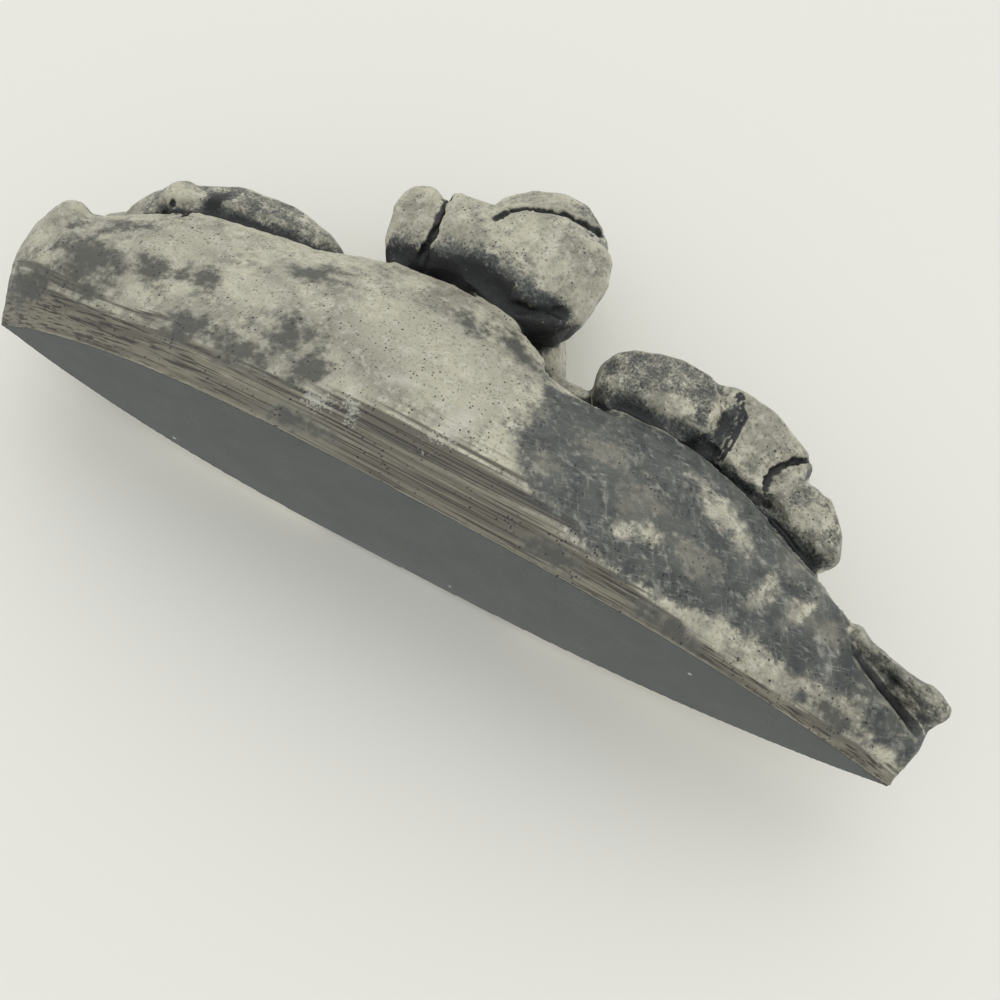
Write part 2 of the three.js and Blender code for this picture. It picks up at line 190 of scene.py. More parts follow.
# The broad flats. Over the small planes the carver struck larger ones, each in a chosen place on
# the side of the figures that faces the wall.
FLAT_REACH = 9.0
FLAT_MIDDLE = 3.0
FLATS = (
    # mitten, sleeve, shoulder and side
    ((44.5, 10.2, 76), 1.1), ((43.3, 9.8, 67), 1.0), ((29.7, 13, 80), 1.0), ((29, 13, 71), 1.2),
    ((19, 13.5, 79), 0.9), ((18, 12.6, 67.5), 1.3), ((6.2, 12.9, 83.4), 1.2), ((-3, 11.3, 83), 1.3),
    ((8, 13, 72), 1.2), ((-4.5, 10.5, 73), 1.2), ((30, 6, 88), 1.0),
    # hood
    ((20, 1, 98.5), 0.9), ((9, 3, 101), 0.9), ((-3, 2, 96), 1.1),
    # parka tail, leg and boot
    ((-21, 7.7, 60), 1.1), ((-31, 9, 65), 1.3), ((-41.5, 8.8, 66.5), 1.2), ((-30.4, 8.5, 56), 1.1),
    ((-42.2, 8.7, 58), 1.2), ((-58, 6, 68.5), 1.2), ((-66, 5.2, 66), 1.1), ((-57, 6.7, 59), 1.1),
    ((-64, 6, 59), 1.0), ((-74.6, 5.9, 53.5), 0.9), ((-82.5, 6.2, 50.5), 0.9), ((-79, 6.1, 45.5), 0.9),
    # seal
    ((87, 5, 60), 0.9), ((72, 5.6, 60), 0.9), ((78, 7.4, 55), 0.8), ((65, 6, 57), 0.8), ((110, -1, 47), 0.9),
)

outward = facing()
above_ridge = points[:, 2] - np.interp(points[:, 0], RIDGE_X, RIDGE_Z)


def flat(place, depth):
    """Strike one broad flat into a round: whatever stands over the plane nearby is cut back to it."""
    centre = np.argmin(((points - place) ** 2).sum(1))
    near = np.nonzero((np.abs(points - points[centre]) < FLAT_REACH).all(1) & (above_ridge > 1.5))[0]
    near = near[outward[near] @ outward[centre] > 0.35]
    away = np.linalg.norm(points[near] - points[centre], axis=1)
    plane = outward[near[away < FLAT_MIDDLE]].mean(0)
    plane /= np.linalg.norm(plane)
    over = (points[near] - points[centre]) @ plane + depth
    fall = 1 - rise(away, 0.8 * FLAT_REACH, FLAT_REACH)
    points[near] -= plane * (fall * np.clip(over, 0, 1.6 * depth))[:, None]


for place, depth in FLATS:
    flat(place, depth)

# The channel. It was cut along the back of the ridge, deepest at its foot, so the figures stand
# clear of the ice. It starts past the boot and stops short of the knob.
CHANNEL_DEPTH = 2.2

x, y, _ = points.T
alongside = rise(x, -93, -88) * (1 - rise(x, 110, 116)) * rise(y, -6, 0)
channel = alongside * rise(above_ridge, 0.3, 1.2) * (1 - rise(above_ridge, 2.4, 6.5))
points[:, 1] -= CHANNEL_DEPTH * channel
points = soften(points, 1, 0.3 * alongside * (1 - rise(above_ridge, 5, 7)))

# The cuts that part the forms: mitten from cuff, hood from shoulder, the crease under the sleeve,
# the parka's hem and its trim, the boot, and the claws of the seal's flippers. They were made with
# the corner of a chisel and filled with dark wax. Their black in the finish is dark wax and painted shade.
STEP = 0.4
RUN_OUT = 6

finder = kdtree.KDTree(count)
for number, spot in enumerate(points):
    finder.insert(spot, number)
finder.balance()
outward = facing()
cut_lines = np.zeros(count)


def groove(line, width, depth, dark=1.0):
    """Cut a channel along a line of places, each laid on the nearest stone, and note how dark it is made, for
    dark wax and painted shade.
    """
    line = np.array(line, float)
    run = np.concatenate([[0], np.cumsum(np.linalg.norm(np.diff(line, axis=0), axis=1))])
    route = np.stack([np.interp(np.arange(0, run[-1], STEP), run, line[:, k]) for k in range(3)], 1)
    deep = np.zeros(count)
    dirt_and_shade = np.zeros(count)
    for k, place in enumerate(route):
        nearest = finder.find(place)[1]
        fade = min(1.0, (k + 1) / RUN_OUT, (len(route) - k) / RUN_OUT)
        reach = width * (0.85 + 0.15 * math.sin(0.4 * k))
        for _, number, away in finder.find_range(points[nearest], reach):
            if outward[number] @ outward[nearest] > -0.3:
                deep[number] = max(deep[number], fade * depth * (1 - (away / reach) ** 2) ** 1.5)
                dirt_and_shade[number] = max(dirt_and_shade[number], fade * dark * min(1.0, 2.5 * (1 - away / reach)))
    points[:] -= outward * deep[:, None]
    cut_lines[:] = np.maximum(cut_lines, dirt_and_shade)


CUFF = [(39.5, 4, 88), (38.9, 9.5, 83), (37.4, 11.2, 76.5), (36, 11.3, 70.5), (35.5, 9, 67), (35.5, 7, 64)]
SHOULDER = [(24, 12.8, 81), (22.9, 12.8, 82.8), (21.3, 12, 85.8), (20.9, 10.6, 87.6), (20.8, 9, 89)]
HOOD = [(27.5, -2, 91), (25, 0.6, 92.6), (22.9, 1.6, 93.6), (21, 2.1, 94.4), (18.4, 3.6, 95),
        (12.6, 5.8, 95.3), (6.4, 5.5, 95.9), (3.7, 4.2, 96.7), (1.5, 2.4, 98), (0.5, -0.5, 99.7),
        (0, -4, 101)]
HEM = [(-47.5, 3, 72), (-48.8, 5.8, 69), (-50.8, 6.8, 65), (-51.5, 6.8, 61), (-50.8, 6, 56), (-49.6, 4, 51.6)]
BOOT = [(-75, 0, 66), (-73, 3, 64), (-70.5, 4.6, 61.8), (-68.3, 5.5, 58), (-67.6, 5.2, 54), (-67.3, 4.4, 50)]
UNDER_SLEEVE = [(9, 9, 62.5), (3.4, 10.1, 63), (-0.8, 10.5, 65), (-4.7, 9.5, 68)]
TRIM_GAPS = (1.6, 3.0, 4.2)
CLAWS = (93.8, 96.4, 99)

groove(CUFF, 1.8, 2.3)
groove(SHOULDER, 1.5, 1.6)
groove(HOOD, 1.7, 2.0)
groove(HEM, 3.6, 2.0, 0.3)
for gap in TRIM_GAPS:
    groove([(along - gap, out, up) for along, out, up in HEM], 0.8, 0.5)
groove(BOOT, 1.4, 1.7)
groove(UNDER_SLEEVE, 2.2, 1.6)
for claw in CLAWS:
    groove([(claw, 7, 49), (claw, 7.5, 46), (claw, 6, 43)], 1.0, 0.9)
    groove([(claw - 1, -24, 38), (claw - 1, -24.5, 35), (claw - 1, -23.5, 31)], 1.0, 0.9)

# The faces. The hunter's eyes and mouth and the fur edge of the hood are cut in small strokes, on
# the head's own axes, and so are the seal's eyes and mouth.
HEAD_PLACE = (13.5, -9, 88.5)
HEAD_TURN = math.radians(-26)
HEAD_NOD = math.radians(8)
FUR_STROKES = 26

head = Matrix.Translation(HEAD_PLACE) @ Matrix.Rotation(HEAD_TURN, 4, "Z") @ Matrix.Rotation(HEAD_NOD, 4, "Y")


def on_head(*places):
    """Places given on the head's own axes, brought into the carving's."""
    return [tuple(head @ Vector(place)) for place in places]


for side in (-1, 1):
    groove(on_head((18.4, 1.6 * side, 0.4), (18.2, 3.2 * side, 0.9), (17.8, 4.8 * side, 0.4)), 0.85, 0.6)
    groove([(119, -12 + 6 * side, 43), (120.5, -12 + 6 * side, 41.5)], 1.3, 0.9)
groove(on_head((18.5, -2.6, -7.8), (19.4, 0, -7.8), (18.5, 2.6, -7.8)), 0.85, 0.6)
for stroke in range(FUR_STROKES):
    angle = 2 * math.pi * stroke / FUR_STROKES
    inner = (20, 8.4 * math.cos(angle), -0.5 + 12.3 * math.sin(angle))
    outer = (19, 12.4 * math.cos(angle), -0.5 + 16.4 * math.sin(angle))
    groove(on_head(inner, outer), 1.0, 0.6, 0.6)
groove([(120, -8, 36.5), (126, -12, 35), (126, -16, 35), (120, -19, 36.5)], 1.0, 0.8)

# The hand-worked surface. Nothing on the stone is quite even: slow waves run over the wall, and
# strokes and small dents are left on the carved side.
CELLS = 40
CLEAR_OF_ZERO = 500.5


def uneven(size, seed, at=None):
    """Seeded unevenness, about -1 to 1, with humps about as wide as size."""
    table = np.random.default_rng(seed).uniform(-1, 1, (CELLS, CELLS, CELLS))
    spot = (points if at is None else at) / size + CLEAR_OF_ZERO
    base = np.floor(spot).astype(int)
    part = spot - base
    part = part * part * (3 - 2 * part)
    total = np.zeros(len(spot))
    for dx in (0, 1):
        for dy in (0, 1):
            for dz in (0, 1):
                weight = (part[:, 0] if dx else 1 - part[:, 0]) * (part[:, 1] if dy else 1 - part[:, 1])
                weight = weight * (part[:, 2] if dz else 1 - part[:, 2])
                total += weight * table[(base[:, 0] + dx) % CELLS, (base[:, 1] + dy) % CELLS,
                                        (base[:, 2] + dz) % CELLS]
    return total * 1.6


outward = facing()
waves = 0.2 * uneven(20, seed=1) + (0.04 + 0.10 * carved) * uneven(6, seed=2)
dents = 0.08 * uneven(2.6, seed=3) + 0.05 * uneven(1.5, seed=4)
moved = waves * rise(points[:, 2], 0.5, 6) + dents * (0.3 + 0.7 * carved)
points += outward * moved[:, None] * still[:, None]

# The marks of wear and painted shade, which steer the finish: shut_in says how much stone stands round a
# place, for painted shade and soot in tight places; hollow finds the concave places and small cuts, for
# black that is dirt and painted shade; and worn the edges that hands rub. Inside its hood the face takes
# less painted shade.
TESTED = 16000
LOOKS = 20
AROUND = 16.0
OFF_THE_STONE = 1.5
BROAD = 60
CLOSE = 4

outward = facing()
rough = stone_node.data
shell = bvhtree.BVHTree.FromPolygons([corner.co / MM for corner in rough.vertices],
                                     [polygon.vertices for polygon in rough.polygons])
# Painted shade: each tested place counts how many of its looks meet stone close by.
rng = np.random.default_rng(7)
tested = rng.choice(count, TESTED, replace=False)
shut = np.zeros(TESTED)
for k, number in enumerate(tested):
    normal = outward[number]
    rays = rng.normal(size=(LOOKS, 3))
    rays = rays / np.linalg.norm(rays, axis=1, keepdims=True) + normal * 1.05
    start = Vector(points[number] + normal * OFF_THE_STONE)
    for ray in rays:
        _, faced, _, _ = shell.ray_cast(start, ray, AROUND)
        shut[k] += faced is not None and faced @ Vector(ray) < 0
    shut[k] /= LOOKS
tested_finder = kdtree.KDTree(TESTED)
for k, number in enumerate(tested):
    tested_finder.insert(points[number], k)
tested_finder.balance()
shut_in = np.array([shut[tested_finder.find(spot)[1]] for spot in points])
shut_in = soften(shut_in, 14)
# Inside the face opening of the hood most of the painted shade is taken off.
on_axes = (points - np.array(head.translation)) @ np.array(head.to_3x3())
opening = np.hypot(on_axes[:, 1] / 9, on_axes[:, 2] / 13)
less_shaded_face = rise(on_axes[:, 0], 8, 11) * (1 - rise(opening, 0.8, 1.0))
shut_in = shut_in * (1 - 0.75 * less_shaded_face)
hollow = np.einsum("ij,ij->i", soften(points, BROAD) - points, outward)
worn = np.einsum("ij,ij->i", points - soften(points, CLOSE), outward)

# The marks of colour: where the grey slate skin was left, how far the dark wax and painted shade went,
# where the saw ran along the foot, and the stains, pale patches and crust on the wall. Some darker
# spots are painted shadow. Each spot is x, z, half length, half height and tilt.
STAINS = [(104, 34, 15, 5, -25), (103, 20, 12, 8, 35), (115, 9, 6, 6, 0), (68, 13, 8, 5, 0),
          (53, 13, 9, 4.5, 0), (45, 21, 8, 7, 20), (36, 16, 6, 6, 0), (55, 43, 10, 5, -25),
          (75, 30, 9, 5, 0), (88, 26, 7, 5, 30), (32, 3, 9, 3, 0), (0, 50, 12, 4, 30),
          (15, 50, 10, 4, 0), (-30, 4, 9, 3, 0), (-60, 3, 12, 3, 0), (-100, 5, 12, 3, 0)]
PALE_SPOTS = [(18, 38, 24, 15, 0), (6, 34, 14, 14, 30), (88, 33, 12, 6, -20), (27, 14, 9, 7, 0),
              (60, 30, 10, 7, 0), (85, 40, 10, 5, -10)]
CRUST = [(24, 13, 8, 3, 60), (19, 24, 9, 3, -20), (2, 20, 5, 12, 20), (31, 10, 6, 4, 0)]
BARE_SPOTS = [(-41.3, 17.6, 4, 4, 0), (-47, 19, 4.4, 3.4, 0), (-59, 35, 13, 6, 30), (-75.6, 22.8, 3, 9, 15),
              (-84.7, 23.4, 3, 8, 15), (-75, 8, 15, 4.5, 0), (-15, 48.5, 9, 3, 0), (-98, 9, 10, 4, 0)]
CHALKY = [(-30, 34, 13, 8, 20), (-42, 26, 10, 8, 0), (-58, 20, 12, 6, 10), (-80, 34, 6, 6, 0),
          (-92, 22, 8, 5, 0), (-20, 22, 7, 7, 0)]
# Darker patches; those beside and below the seal's flipper are painted shadow.
DARKER_AND_SHADOWED = [(-52.5, 62, 4, 10, 5), (-1, 66, 8, 4.5, 0), (90, 55, 3, 6, 30), (94, 46.5, 5, 2, 0),
          (-77, 62, 4, 3, 0)]
LIGHTER = [(-37.5, 58, 7.5, 3.4, -16), (98, 52, 6.5, 5, 0), (-62, 64, 8, 4, -25), (-80, 49, 5, 4, -40)]
SLATE_END_X = -10
SLATE_EDGE_X = (-122, -92, -71, -58, -45, -32, -21, -14, -10)
SLATE_EDGE_Z = (5.0, 6.0, 5.5, 7.0, 8.2, 10.6, 12.5, 18, 28)
LEDGE_X = (-124, -110, -98)
LEDGE_Z = (12.5, 17.6, 22.8)
TAIL_X = (-47, -14)
LEG_X = (-95, -47)
SEAL_X = (50, 118)
HOOD_Z = 80
SIDE_REACH = 14
LEG_REACH = 8
SEAL_REACH = 6
FOOT_X = (-106, -80, -54, -40, -26, -12, 12, 36, 48, 77, 104)
FOOT_Z = (3.5, 3, 5.5, 8, 12, 15, 14.5, 11.5, 9.5, 11, 11)

x, y, z = points.T
above_ridge = z - np.interp(x, RIDGE_X, RIDGE_Z)


def spots(places):
    """How far inside the nearest of some oval spots each point lies: 1 at a centre, 0 at the rim."""
    best = np.full(count, -1.0)
    for middle_x, middle_z, half_length, half_height, tilt in places:
        turn = math.radians(tilt)
        along = (x - middle_x) * math.cos(turn) + (z - middle_z) * math.sin(turn)
        across = (z - middle_z) * math.cos(turn) - (x - middle_x) * math.sin(turn)
        best = np.maximum(best, 1 - np.hypot(along / half_length, across / half_height))
    return best


def within(span):
    """Which points lie along that stretch of the carving."""
    return (x > span[0]) * (x < span[1])


def at_least(amount, where, floor):
    """The amount, raised to the floor wherever the place is mostly in the region."""
    return np.where(where > 0.5, np.maximum(amount, floor), amount)


# The wall narrows towards both tips, and the ledge's slab belongs to the carved side.
wall_front = WALL_FRONT - 9 * rise(np.abs(x), 103, 117)
slab = rise(-x, 95, 98) * rise(z - np.interp(x, LEDGE_X, LEDGE_Z), -0.4, 0.4)
behind = rise(y, wall_front - 1, wall_front + 1) * (1 - rise(above_ridge, 0.2, 0.9)) * (1 - slab)
tips = rise(-x, 105, 112)

# Slate: over the wall behind the hunter's legs, and in leaning patches on the front.
slate = np.clip(np.minimum((SLATE_END_X - x) / 7, (z - np.interp(x, SLATE_EDGE_X, SLATE_EDGE_Z)) / 5), -1, 0.9)
slate = slate - 1.3 * np.clip(spots(BARE_SPOTS) + 0.25, 0, 1)
leaning = np.stack([0.77 * x + 0.64 * z, y, 0.77 * z - 0.64 * x], 1)
slate = behind * slate + (1 - behind) * (1.7 * uneven(21, 8, leaning) - 0.85)
slate = np.where(above_ridge > 3, -1, slate - slab - (1 - behind) * 2 * (tips + rise(x, 105, 112)))

# Wax and painted shade: full in the channel behind the ridge and in the deep cuts, none on the rubbed
# tops. It reaches higher up the hunter's side than up the leg or the seal. The tight places and the
# down-facing sides are darkened, partly as painted shade, and the seal's up-facing tops are left
# lighter as painted light.
reach = np.where(x > -14, np.where(x > 45, SEAL_REACH, SIDE_REACH), LEG_REACH)
near_side = rise(y, -4, 2) * rise(above_ridge, -1.0, 0.3)
up_from_ridge = 1.08 - above_ridge / reach
# Tight places take painted shade as well as wax.
tucked = 0.3 + 2.0 * (shut_in - 0.5)
wax_and_shade = near_side * np.maximum(up_from_ridge, tucked) + (1 - near_side) * tucked
# Down-facing sides darker, partly wax and partly painted shade.
wax_and_shade = wax_and_shade + 0.3 * np.clip(-outward[:, 2], -0.3, 1) + 0.16 * uneven(9, seed=9)
on_tail = near_side * within(TAIL_X)
on_leg = near_side * within(LEG_X)
on_seal = near_side * within(SEAL_X)
on_hood = (z > HOOD_Z) & (x < 12)
wax_and_shade = at_least(wax_and_shade, on_tail, 0.5)
wax_and_shade = at_least(wax_and_shade, on_leg, 0.26 + 0.16 * rise(-x, 70, 74))
wax_and_shade = at_least(wax_and_shade, on_hood, 0.24 + 0.14 * rise(z, 90, 95))
wax_and_shade = at_least(wax_and_shade, slab, 0.5)
# The seal's up-facing tops take less, left lighter as painted light.
wax_and_shade = at_least(wax_and_shade, on_seal, 0.46 - 0.25 * rise(outward[:, 2], 0.5, 0.9))
# Darker and lighter patches on the near side; the darker ones by the seal's flipper are painted shadow.
wax_and_shade = wax_and_shade + 0.9 * near_side * (np.clip(spots(DARKER_AND_SHADOWED), 0, 0.6) - np.clip(spots(LIGHTER), 0, 0.5))
bare_tips = tips * (1 - slab) + rise(x, 108, 115)
wax_and_shade = np.clip((1 - behind) * (wax_and_shade * (1 - 0.5 * bare_tips)), 0, 1)

# Wall: stains, pale patches, chalk and crust, saw marks along the foot and a rubbed rim on the ridge.
stain = spots(STAINS) + 0.2 * rise(x, 35, 50) - 0.45 * rise(x, 50, 60) * rise(z, 26, 32)
stain = np.where(behind > 0.5, stain, -0.4)
# On the wall, pale patches; on the figures the up-facing sides are made paler, partly dust and partly painted
# light.
pale = behind * spots(PALE_SPOTS) + (1 - behind) * (0.8 * outward[:, 2] - 0.5)
foot = np.where(behind > 0.5, 1.3 - 1.1 * z / np.interp(x, FOOT_X, FOOT_Z), -1)
crust = behind * spots(CRUST) - (1 - behind)
chalky = behind * spots(CHALKY) - (1 - behind)
rim = rise(y, 3, 6) * rise(above_ridge, -1.8, -0.6) * (1 - rise(above_ridge, 0.5, 1.0))
rim = rim * (0.3 + 0.7 * rise(x, -30, -10))

# The finished surface. The underside goes back to its saw plane, the fine grid is thinned to the
# faces it needs, and the stone takes its marks with it.
MOST_FACES = 190000
FULL_HOLLOW = 2.8
FULL_WEAR = 0.12
DEAD_DOWN = -0.99

points[underneath, 2] = 0.0
low, high = (np.array(side) / MM for side in cad_box)
points = np.clip(points, low, high)
fine.vertices.foreach_set("co", (points * MM).ravel())
# Black for the hollows and cuts is dirt and painted shade; the tight places and the wax mark carry painted
# shade too.
marks = {"shut in": shut_in, "hollow": np.maximum(hollow / FULL_HOLLOW, 0.5 * cut_lines),
         "worn": worn / FULL_WEAR, "slate": slate, "stain": stain, "pale": pale, "foot": foot,
         "crust": crust, "wax_and_shade": wax_and_shade, "rim": rim, "chalky": chalky}
for name, values in marks.items():
    layer = fine.attributes.new(name, "FLOAT", "POINT")
    layer.data.foreach_set("value", np.ascontiguousarray(np.clip(values, -1, 1), dtype=np.float32))
fine.update()
fewer = carving.modifiers.new("fewer faces", "DECIMATE")
fewer.ratio = min(1.0, MOST_FACES / len(faces))
bpy.context.view_layer.update()
finished = bpy.data.meshes.new_from_object(carving.evaluated_get(bpy.context.evaluated_depsgraph_get()))
carving.modifiers.clear()
carving.data = finished
finished.name = "carved_soapstone"
turned = np.empty(len(finished.polygons) * 3)
finished.polygons.foreach_get("normal", turned)
finished.polygons.foreach_set("use_smooth", turned[2::3] > DEAD_DOWN)

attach(carving, "root")
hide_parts("hunter_sculpture")


# The finish. Soapstone is a soft grey stone, waxed and handled: cream where it is rubbed, slate blue
# where the skin was left, black in the deep cuts, pitted all over and lined where the saw ran. Painted
# shade darkens the tight places, the cuts and the down-facing sides; the up-facing tops are paler,
# partly painted light.
def put(tree, kind, sockets=(), **settings):
    """Add a shader node; a socket takes a plain value or another node's output."""
    made = tree.nodes.new("ShaderNode" + kind)
    for key, value in settings.items():
        setattr(made, key, value)
    for key, value in dict(sockets).items():
        if isinstance(value, bpy.types.NodeSocket):
            tree.links.new(value, made.inputs[key])
        else:
            made.inputs[key].default_value = value
    return made


def reckon(tree, operation, a, b=0.0, clamp=False):
    """One sum on two values or sockets."""
    return put(tree, "Math", {0: a, 1: b}, operation=operation, use_clamp=clamp).outputs[0]


def ramp(tree, value, low, high, start=0.0, end=1.0):
    """An easy slope from start to end as the value goes from low to high."""
    sockets = {"Value": value, "From Min": low, "From Max": high, "To Min": start, "To Max": end}
    return put(tree, "MapRange", sockets, interpolation_type="SMOOTHSTEP").outputs["Result"]


def new_effect(name, inputs, output):
    """A shader node group over a place, with its named inputs and one output."""
    tree = bpy.data.node_groups.new(name, "ShaderNodeTree")
    tree.interface.new_socket("Place", in_out="INPUT", socket_type="NodeSocketVector")
    for label, value in inputs.items():
        socket = tree.interface.new_socket(label, in_out="INPUT", socket_type="NodeSocketFloat")
        socket.default_value = value
    tree.interface.new_socket(output, in_out="OUTPUT", socket_type="NodeSocketFloat")
    return tree, tree.nodes.new("NodeGroupInput").outputs, tree.nodes.new("NodeGroupOutput").inputs[output]


def shrunk(tree, place, size):
    """The place in steps of the given size."""
    return put(tree, "VectorMath", {0: place, "Scale": reckon(tree, "DIVIDE", 1.0, size)},
               operation="SCALE").outputs[0]


def drawn_out(tree, place, length, depth, spacing):
    """The place squeezed along X, so that what is laid over it runs in lines of that length."""
    squeeze = put(tree, "CombineXYZ", {0: reckon(tree, "DIVIDE", 1.0, length),
                                       1: reckon(tree, "DIVIDE", depth, spacing),
                                       2: reckon(tree, "DIVIDE", 1.0, spacing)}).outputs[0]
    return put(tree, "VectorMath", {0: place, 1: squeeze}, operation="MULTIPLY").outputs[0]


clouds, given, result = new_effect("clouds", {"Size": 8.0, "Detail": 5.0}, "Value")
billow = put(clouds, "TexNoise", {"Vector": shrunk(clouds, given["Place"], given["Size"]), "Scale": 1.0,
                                  "Detail": given["Detail"], "Roughness": 0.62})
clouds.links.new(billow.outputs["Fac"], result)

pits, given, result = new_effect("pits", {"Spacing": 1.5, "Width": 0.3, "Share": 0.4}, "Mask")
cell = put(pits, "TexVoronoi", {"Vector": shrunk(pits, given["Place"], given["Spacing"]), "Scale": 1.0})
chance = put(pits, "SeparateColor", {0: cell.outputs["Color"]}).outputs
present = reckon(pits, "LESS_THAN", chance[0], given["Share"])
wide = reckon(pits, "MULTIPLY", given["Width"], ramp(pits, chance[1], 0.0, 1.0, 0.4, 1.2))
hole = ramp(pits, reckon(pits, "DIVIDE", cell.outputs["Distance"], wide), 0.6, 1.1, 1.0, 0.0)
pits.links.new(reckon(pits, "MULTIPLY", hole, present), result)

strokes, given, result = new_effect("strokes", {"Length": 30.0, "Spacing": 1.0}, "Value")
lined = drawn_out(strokes, given["Place"], given["Length"], 0.25, given["Spacing"])
streak = put(strokes, "TexNoise", {"Vector": lined, "Scale": 1.0, "Detail": 2.0, "Roughness": 0.6})
strokes.links.new(streak.outputs["Fac"], result)

smears, given, result = new_effect("smears", {"Length": 9.0, "Spacing": 1.0, "Turn": 1.0}, "Value")
leaned = put(smears, "VectorRotate", {"Vector": given["Place"], "Angle": given["Turn"]},
             rotation_type="Y_AXIS").outputs[0]
lined = drawn_out(smears, leaned, given["Length"], 0.5, given["Spacing"])
smear = put(smears, "TexNoise", {"Vector": lined, "Scale": 1.0, "Detail": 3.0, "Roughness": 0.6,
                                 "Distortion": 0.3})
smears.links.new(smear.outputs["Fac"], result)


def colour(red, green, blue):
    """A paint-chart colour, 0 to 255, as the shader wants it."""
    parts = [part / 255 for part in (red, green, blue)]
    return (*[part / 12.92 if part < 0.0405 else ((part + 0.055) / 1.055) ** 2.4 for part in parts], 1.0)


CREAM = colour(184, 181, 161)
WARM_GREY = colour(150, 147, 132)
MID_GREY = colour(108, 108, 99)
STAIN_GREY = colour(66, 67, 63)
SLATE_BLUE = colour(68, 72, 70)
DEEP_SLATE = colour(48, 52, 54)
# Near black: the pits, the thickest wax, and painted shade in the tight places, cuts and hollows.
NEAR_BLACK = colour(11, 14, 19)
CHALK = colour(204, 204, 193)
OLIVE = colour(112, 108, 94)
BROWN = colour(78, 74, 64)
SAW_DIRT = colour(38, 35, 31)
UNDER_SLATE = colour(54, 59, 56)
UNDER_DARK = colour(45, 50, 48)
WAX_SHEEN = 0.55
GRIT = 0.0003

stone = bpy.data.materials.new("soapstone")
stone.use_nodes = True
tree = stone.node_tree
shade = tree.nodes["Principled BSDF"]
in_mm = put(tree, "VectorMath", {0: put(tree, "TexCoord").outputs["Object"], "Scale": 1 / MM},
            operation="SCALE").outputs[0]


def marked(name):
    """One of the stone's own marks."""
    return put(tree, "Attribute", attribute_name=name).outputs["Fac"]


def effect(kind, **values):
    """One of the shared effects, laid over the stone."""
    made = put(tree, "Group", node_tree=kind)
    tree.links.new(in_mm, made.inputs["Place"])
    for key, value in values.items():
        made.inputs[key.capitalize()].default_value = value
    return made.outputs[0]


def both(a, b):
    """Only where both masks are."""
    return reckon(tree, "MULTIPLY", a, b)


def mixed(a, b, part):
    """So much of one value, and the rest of another."""
    return reckon(tree, "ADD", reckon(tree, "MULTIPLY", a, part), reckon(tree, "MULTIPLY", b, 1 - part))


def ragged(field, cloud, spread, low, high):
    """A marked field with its edge broken up by a cloud."""
    shift = reckon(tree, "MULTIPLY", reckon(tree, "SUBTRACT", cloud, 0.5), spread)
    return ramp(tree, reckon(tree, "ADD", field, shift), low, high)


wide_cloud = effect(clouds, size=16.0, detail=3.0)
cloud = effect(clouds, size=6.0, detail=8.0)
small_cloud = effect(clouds, size=2.2, detail=6.0)
grains = effect(clouds, size=0.7, detail=3.0)
mottle = mixed(cloud, small_cloud, 0.55)
fine_mottle = mixed(mottle, grains, 0.6)
saw_lines = effect(strokes, length=80.0, spacing=2.0)
fine_saw_lines = effect(strokes, length=60.0, spacing=0.6)
sawn = ragged(marked("foot"), saw_lines, 2.4, -0.05, 0.45)
skin = ragged(marked("slate"), mottle, 4.0, -0.4, 0.6)
brushed = []
for turn, length, spacing, strength in ((0.5, 5.0, 2.6, 0.26), (1.1, 9.0, 1.2, 0.16), (-0.3, 30.0, 0.4, 0.2)):
    brush = reckon(tree, "ADD", effect(smears, length=length, spacing=spacing, turn=turn),
                   reckon(tree, "MULTIPLY", small_cloud, 0.5))
    brushed.append((both(skin, ramp(tree, brush, 0.8, 1.0)), strength, CHALK))
# Dark wax with painted shade, its edge broken up.
waxed_and_shaded = ragged(marked("wax_and_shade"), fine_mottle, 2.2, 0.0, 1.0)
on_figure = ramp(tree, marked("wax_and_shade"), 0.0, 0.05)
rubbings = effect(smears, length=6.0, spacing=0.8, turn=0.6)
pinholes = reckon(tree, "MAXIMUM", effect(pits, spacing=0.9, width=0.27, share=0.5),
                  effect(pits, spacing=2.2, width=0.14, share=0.6))
pinholes = both(pinholes, ramp(tree, cloud, 0.44, 0.54))
height = put(tree, "SeparateXYZ", {0: in_mm}).outputs[2]
under = ramp(tree, height, 0.06, 0.2, 1.0, 0.0)
plate = put(tree, "Mix", {0: ramp(tree, wide_cloud, 0.35, 0.65), 6: UNDER_SLATE, 7: UNDER_DARK},
            data_type="RGBA").outputs[2]
under_scratches = effect(smears, length=40.0, spacing=0.8, turn=0.1)
under_chips = effect(pits, spacing=9.0, width=0.07, share=0.3)

